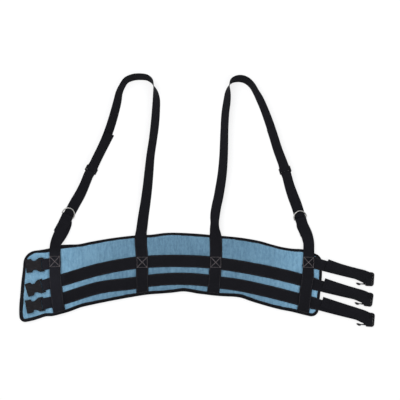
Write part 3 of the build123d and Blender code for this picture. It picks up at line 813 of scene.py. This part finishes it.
def plugFold(seat):
    # from the lower layer, down through the slot, round the bar and up into the tail; out of the slot
    # both layers slide to one side
    reach, slot = webs["foldReach"], webs["slotReach"]
    bend = arcPoints((0, 0), 2.75, 10, -200, 17)
    profile = ([(reach, 4.6), (9.5, 4.5), (6.6, 4.1), (4.9, 3.1), (3.4, 1.7)] + bend
               + [(-1.6, 2.9), (0.8, 4.6), (4.5, 5.8), (9.5, 6.2), (reach, 6.2)])
    points = seat.fold(profile)
    beyond = np.clip(((points - seat.origin) @ seat.along - slot) / (reach - slot), 0, 1)[:, None]
    return points - seat.across * webs["slide"] * eased(beyond)


def plugSeat(row):
    edge, spot, skew = plugs[row]
    bearing = math.degrees(math.atan2(spot[1] - edge[1], spot[0] - edge[0]))
    return Seat(spot, bearing + 180 + skew, plugHeight)


def plugRun(row, lead):
    # the strap from the points in lead, over the belt's edge, and on in a slight bow to its plug
    seat = plugSeat(row)
    over = seat.side([(webs["foldReach"], 4.6)])[0] - seat.across * webs["slide"]
    edge = np.array([*plugs[row][0], belt["bandLevel"] + 0.1])
    rows = [(x, y, belt["bandLevel"] + 0.05, 0) for x, y in lead]
    leftwards = np.array([edge[1] - over[1], over[0] - edge[0], 0]) / np.hypot(*(over - edge)[:2])
    for share, bow in webs["bow"]:
        rows.append((*(edge + (over - edge) * share + leftwards * bow), 0))
    path, across = routeFrames(rows)
    s = runLength(path)
    turned = eased(np.clip(1 - (s[-1] - s) / webs["turn"], 0, 1)[:, None])
    return seat, path, unit(-across * (1 - turned) + seat.across * turned)


def tailRun(path, across, gap, slip, bend):
    # the free end lies back along the strap that it came from, and drifts a little to one side
    s = runLength(path)
    keep = s > gap
    back, side = path[keep][::-1], across[keep][::-1]
    share = np.linspace(0, 1, len(back))[:, None]
    level, arch, tip = webs["tailLift"]
    lift = level + arch * np.sin(share * math.pi)**2 + tip * share**6
    return back + facing(back, side) * lift + side * (-slip * share**bend), side


def sewWeb(name, parts, *nodes, spans=(), ripple=0.12, phase=0.0):
    # joins runs of (points, width directions) into one length of webbing, smooths it, and keeps it off
    # the floor
    path = np.concatenate([points for points, _ in parts])
    across = np.concatenate([np.broadcast_to(side, points.shape) for points, side in parts])
    keep = np.concatenate([[True], np.linalg.norm(np.diff(path, axis=0), axis=1) > webs["least"]])
    path, across = path[keep], across[keep]
    for _ in range(3):
        across[1:-1] = (across[:-2] + across[1:-1] * 2 + across[2:]) / 4
        path[1:-1] = (path[:-2] + path[1:-1] * 6 + path[2:]) / 8
    low = path[:, 2] - np.abs(across[:, 2]) * webbing["width"] / 2 - webbing["thick"] / 2
    path[:, 2] += np.clip(webs["floorGap"] - low, 0, None)
    thing = ribbon(name, path, unit(across), spans, ripple, phase)
    return finishPiece(thing, "webbing", looks["web"], *nodes)


def makeRows():
    for row, (spot, degrees) in sockets.items():
        seat = Seat(spot, degrees, socketHeight)
        tab = (tabFold(seat), seat.across)
        if row == "upper":
            sewWeb("webTab_upper", [tab], "socket_tab_upper", ripple=0.0)
            lead = bandLines["anchor"][:-1]
            nodes = ["plug_strap_anchor", "plug_strap_upper"]
        else:
            band = "upper" if row == "middle" else "lower"
            lead = bandLines[band][1:-1]
            nodes = [f"socket_tab_{row}", f"band_{band}", f"plug_strap_{row}"]
        ending, path, across = plugRun(row, lead)
        first = [] if row == "upper" else [tab]
        begins = np.argmin(np.linalg.norm(path[:, :2] - plugs[row][0], axis=1))
        laid[row] = path[:begins], across[:begins], webbing["face"]
        tail = tailRun(path[begins:], across[begins:], *webs["tails"][row])
        parts = first + [(path, across), (plugFold(ending), ending.across), tail]
        bar = plugs[row][1][0]
        spans = ((0, *webs["flat"]), (0, bar - webs["wide"][0], bar - webs["wide"][1]))
        sewWeb(f"web_{row}", parts, *nodes, spans=spans, phase=spot[1] / 20)


makeRows()
print("rows of webbing made")


# shoulder loops: uprights, ring straps, slider straps and the long straps with their tails

ringHeight = 7.1
slider = {"length": 21.6, "bar": 4.2, "half": 24.0, "thick": 2.4, "lean": 38, "taper": 14}
sliderHeight = slider["half"] * math.sin(math.radians(slider["lean"])) + slider["thick"] / 2 + webbing["gap"]
taperEnd = slider["length"] / 2 + slider["taper"]
shoulders = {"left": {"inward": 1, "tail": 116, "slip": 6.5},
             "right": {"inward": -1, "tail": 128, "slip": -1.0},
             "sewnTo": 100, "flatTo": 84, "lift": (1.62, 1.4), "ripple": 0.25}
ringStraps = {"fan": {"left": -10.0, "right": 3.0}, "fanFrom": 70, "fanLength": 100,
              "flat": {"left": -70, "right": -50}}
below = -400  # further down than any strap reaches


def lying(lean, thick):
    # height of the middle of a strap that leans by this much with its lower edge on the floor
    a = math.radians(lean)
    return webbing["width"] / 2 * abs(math.sin(a)) + thick / 2 * abs(math.cos(a)) + webbing["gap"]


def doubled(path, across, fold, foldAcross, fan=0.0):
    # out along the lower layer, which may fan out sideways, round the fold, and back along the upper layer
    up = facing(path, across) * webbing["layer"]
    return [(path - up + across * fan, across), (fold, foldAcross), ((path + up)[::-1], across[::-1])]


def makeRingStrap(side):
    spot, degrees = rings[side]
    seat = Seat(spot, degrees, ringHeight)
    ends = seat.side([(-22, -2.3)])[0]
    path, across = routeFrames([(x, y, z, 0) for x, y, z in ringRoutes[side]] + [(*ends, 0)])
    laid[f"{side}Outer"] = path, across, webbing["doubleFace"]
    bend = arcPoints((0, 0), webs["bend"], -85, 85, 13)
    profile = ([(-20, -3.05), (-10, -3.05), (-3, -3.05)] + bend
               + [(-3, 2.75), (-8, 1.2), (-14, -0.7), (-20, -1.5)])
    share = np.clip((path[:, 1:2] - ringStraps["fanFrom"]) / ringStraps["fanLength"], 0, 1)
    fan = ringStraps["fan"][side] * np.sin(math.pi * share)
    parts = doubled(path, across, seat.fold(profile), seat.across, fan)
    spans = ((1, below, ringStraps["flat"][side]),)
    sewWeb(f"ringStrap_{side}", parts, f"ring_strap_{side}", spans=spans)


def makeSliderStrap(side):
    spot, degrees, lean = sliders[side]
    seat = Seat(spot, degrees, sliderHeight, lean)
    ends = seat.side([(-taperEnd, 0)])[0]
    rows = [(x, y, lying(tilt, 3.0), tilt) for x, y, tilt in sliderRoutes[side]]
    path, across = routeFrames(rows + [(*ends, lean)])
    bar = -slider["length"] / 2 + slider["bar"] / 2
    profile = [(-taperEnd + 2, -0.85), (bar - 7, -1.7), (bar - 3, -2.2), (bar + 1, -2.3), (bar + 2.9, -2.0),
               (bar + 3.7, -0.7), (bar + 2.9, 1.2), (bar + 1, 2.1), (bar - 3, 2.2), (bar - 7, 1.7),
               (-taperEnd + 2, 0.85)]
    parts = doubled(path, across, seat.fold(profile), seat.across)
    sewWeb(f"sliderStrap_{side}", parts, f"slider_strap_{side}")


def makeShoulderStrap(side):
    this = shoulders[side]
    spot, degrees, lean = sliders[side]
    seat = Seat(spot, degrees, sliderHeight, lean)
    finish = seat.side([(taperEnd, -0.8)])[0]
    rows = [(x, y, z, tilt) for x, y, tilt, z in shoulderRise[side]]
    rows += [(x, y, lying(tilt, 1.5), tilt) for x, y, tilt in shoulderFree[side]]
    path, across = routeFrames(rows + [(*finish, 180 - abs(lean))], this["inward"])
    sewn = path[:, 1] < shoulders["sewnTo"]
    laid[f"{side}Inner"] = path[sewn], across[sewn], webbing["face"]
    foldAcross = seat.across * this["inward"]
    profile = [(taperEnd - 2, -0.9), (15.8, -1.8), (11.8, -2.25), (0, -2.1), (-2.6, -1.2), (-3.8, 0.7),
               (-2.9, 2.0), (0, 2.4), (11.8, 2.25), (15.8, 1.8), (taperEnd - 2, 0.9)]
    s = runLength(path)
    near = s > s[-1] - this["tail"]
    back, sideways = path[near][::-1], across[near][::-1]
    share = np.linspace(0, 1, len(back))[:, None]
    lift = shoulders["lift"][0] + shoulders["lift"][1] * share**4
    tail = back + facing(back, sideways) * lift - sideways * this["slip"] * share**3, sideways
    spans = ((1, below, shoulders["flatTo"]),)
    sewWeb(f"shoulderStrap_{side}", [(path, across), (seat.fold(profile), foldAcross), tail],
           f"shoulder_strap_{side}", spans=spans, ripple=shoulders["ripple"], phase=2.0)


for side in ("left", "right"):
    makeRingStrap(side)
    makeSliderStrap(side)
    makeShoulderStrap(side)
print("shoulder loops made")


# stitching: small capsules laid end to end, each dipping into the cloth at both ends

thread = {"long": 3.0, "pitch": 4.0, "radius": 0.26, "boxRadius": 0.45, "liningRadius": 0.2,
          "boxHalf": 17.6, "boxLift": 0.42, "crossLift": 0.5, "twin": 0.6,
          "edge": 18.3, "hem": 1.6, "hemHeight": 8.5, "underHeight": 0.38}
boxes = {"left_outer": (-399, 6, 14.4, 92.0), "left_inner": (-99, 3, 11.4, 90.0),
         "right_inner": (154, 3, 11.4, 89.0), "right_outer": (473, 3, 12.9, 88.0)}
sewnSpans = {"leftOuter": (-158, 44), "leftInner": (-96, 84), "rightInner": (-90, 84),
             "rightOuter": (-160, 27), "box": (-15, 24)}


def stitchesAlong(line, pitch):
    # middles and directions of the stitches on a line of points
    places = np.arange(pitch / 2, runLength(line)[-1], pitch)
    middle = at(places, line)
    return middle, unit(at(places + pitch / 3, line) - middle)


def sewThread(name, lines, look, *nodes, radius=thread["radius"], up=1):
    # capsule: radius r * sqrt(1 - t^4) at t from -1 to 1 along it, its middle line sinking as t^2
    runs = [stitchesAlong(line, thread["pitch"]) for line in lines]
    middles, alongs = (np.concatenate(part) for part in zip(*runs))
    side = unit(np.cross(np.array([0, 0, 1.0]), alongs))
    above = np.cross(alongs, side) * up
    t = np.array([-1.0, -0.72, 0.0, 0.72, 1.0])
    a = np.radians(np.arange(0, 360, 60))
    size = radius * np.sqrt(np.clip(1 - t**4, 0.03, 1))
    sink = radius * (0.55 - 1.5 * t**2)
    out = (sink[:, None] + size[:, None] * np.cos(a))[None, :, :, None] * above[:, None, None]
    wide = (size[:, None] * np.sin(a))[None, :, :, None] * side[:, None, None]
    ahead = (t * thread["long"] / 2)[None, :, None, None] * alongs[:, None, None]
    grid = middles[:, None, None] + ahead + out + wide
    count, loops, around = grid.shape[:3]
    faces, _ = gridFaces(loops, around, closeCols=True)
    caps = np.array([list(range(around)), list(range((loops - 1) * around, loops * around))])
    shift = (np.arange(count) * loops * around)[:, None, None]
    quads = (faces[None] + shift).reshape(-1, 4).tolist()
    ends = (caps[None] + shift).reshape(-1, around).tolist()
    thing = meshObject(name, grid.reshape(-1, 3), quads + ends)
    return finishPiece(thing, "thread", look, *nodes)


def boxLines(spot):
    # the outline of a box and its two diagonals, sewn twice
    x, y, z, degrees = spot
    half, lift = thread["boxHalf"], thread["crossLift"]
    seat = Seat((x, y), degrees, z)
    corners = [(-half, -half), (half, -half), (half, half), (-half, half), (-half, -half)]
    outline = seat.put([(*corner, thread["boxLift"]) for corner in corners])
    crosses = [seat.put([(-half, k * half + twin, lift), (half, -k * half + twin, lift)])
               for k in (1, -1) for twin in (-thread["twin"], thread["twin"])]
    return [evenly(outline[k:k + 2], 1.0) for k in range(4)] + [evenly(line, 1.0) for line in crosses]


def sideLine(path, across, offset, lift):
    # a line along webbing, moved across its width and up on to its surface
    return path + across * offset + facing(path, across) * lift


for place, spot in boxes.items():
    sewThread(f"boxStitches_{place}", boxLines(spot), looks["boxThread"], f"stitch_box_{place}",
              radius=thread["boxRadius"])

edgeLines = []
for name, (path, across, lift) in laid.items():
    parts = [np.full(len(path), True)]
    if name in sewnSpans:
        low, high = sewnSpans[name]
        boxLow, boxHigh = sewnSpans["box"]
        y = path[:, 1]
        parts = [(y > low) & (y < boxLow), (y > boxHigh) & (y < high)]
    for part in parts:
        if part.sum() > 2:
            edgeLines += [sideLine(path[part], across[part], k * thread["edge"], lift) for k in (1, -1)]
sewThread("edgeStitches", edgeLines, looks["seamThread"])

line, inward = rimLoop(3.0)
inside = line + inward * (bindingWidth(line, inward) - thread["hem"])[:, None]
rim = raisedTo(inside, thread["hemHeight"] + strapsUnder(line, inward))
under = raisedTo(inside, thread["underHeight"])
sewThread("bindingStitches", [closed(rim)], looks["seamThread"])
sewThread("liningStitches", [closed(under)], looks["seamThread"], radius=thread["liningRadius"], up=-1)
print("stitching made")


# hardware: moulded buckles and sliders, bent steel rings

hardware = {"plasticEdge": 0.25, "segments": 2, "sharp": 32, "weld": 0.02}


def finishHardware():
    for name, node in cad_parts.items():
        kind = name.split("_")[0]
        if kind not in ("socket", "plug", "ring", "slider") or "strap" in name or "tab" in name:
            continue
        steel = kind == "ring"
        node.data.materials.clear()
        node.data.materials.append(looks["steel" if steel else "plastic"])
        weld = node.modifiers.new("weld", "WELD")
        weld.merge_threshold = hardware["weld"] * mm
        if not steel:
            edge = node.modifiers.new("edge", "BEVEL")
            edge.width = hardware["plasticEdge"] * mm
            edge.segments = hardware["segments"]
            edge.limit_method = "ANGLE"
            edge.angle_limit = math.radians(hardware["sharp"])
        node.modifiers.new("even", "WEIGHTED_NORMAL")


finishHardware()
print("hardware finished")


# stage: a pale floor, soft lamps and a camera straight above

stage = {"floor": (0.94, 0.94, 0.945), "half": 6000, "glow": 0.72, "glossy": 0.6, "world": 0.75,
         "sky": (0.97, 0.98, 1.0), "aim": (0.05, 0.2, 0), "lens": 85.0, "sensor": 36.0,
         "frameWidth": 1380.0, "middle": (100.0, 217.0)}
lamps = {"key": {"at": (-1.5, 1.6, 2.6), "size": 2.2, "power": 46.0},
         "fill": {"at": (1.9, -0.6, 2.3), "size": 2.0, "power": 22.0},
         "back": {"at": (0.2, 2.6, 1.4), "size": 1.6, "power": 12.0}}


def makeFloor():
    # a flat square that glows a little to the camera and in reflections, so that it stays even
    half = stage["half"]
    corners = np.array([(-half, -half, 0), (half, -half, 0), (half, half, 0), (-half, half, 0)], float)
    thing = meshObject("floor", corners, [[0, 1, 2, 3]])
    look = Look("paleFloor", stage["floor"], 0.9)
    out = look.tree.nodes["Material Output"]
    glow = look.node("ShaderNodeEmission", None, {"Color": (1, 1, 1, 1), "Strength": 1.0})
    paths = look.tree.nodes.new("ShaderNodeLightPath")
    camera, glossy = (Wire(look, paths.outputs[f"Is {kind} Ray"]) for kind in ("Camera", "Glossy"))
    seen = camera + glossy * stage["glossy"]
    mix = look.tree.nodes.new("ShaderNodeMixShader")
    look.put(0, seen * stage["glow"], mix)
    look.tree.links.new(look.shader.outputs[0], mix.inputs[1])
    look.tree.links.new(glow.socket, mix.inputs[2])
    look.tree.links.new(mix.outputs[0], out.inputs["Surface"])
    thing.data.materials.append(look.material)
    thing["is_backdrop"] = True


def makeLight():
    for name, lamp in lamps.items():
        light = bpy.data.lights.new(name, "AREA")
        light.size = lamp["size"]
        light.energy = lamp["power"]
        thing = placed(name, light)
        thing.location = lamp["at"]
        aim = Vector(stage["aim"]) - thing.location
        thing.rotation_euler = aim.to_track_quat("-Z", "Y").to_euler()
    world = bpy.data.worlds.new("studio")
    world.use_nodes = True
    background = world.node_tree.nodes["Background"]
    background.inputs["Color"].default_value = (*stage["sky"], 1)
    background.inputs["Strength"].default_value = stage["world"]
    bpy.context.scene.world = world


def makeCamera():
    camera = bpy.data.cameras.new("camera")
    camera.lens = stage["lens"]
    camera.sensor_width = stage["sensor"]
    thing = placed("camera", camera)
    x, y = stage["middle"]
    thing.location = (x * mm, y * mm, stage["frameWidth"] * mm * stage["lens"] / stage["sensor"])
    bpy.context.scene.camera = thing


makeFloor()
makeLight()
makeCamera()
bpy.context.scene.view_settings.view_transform = "Standard"
print("stage, lamps and camera made")

low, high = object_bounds()
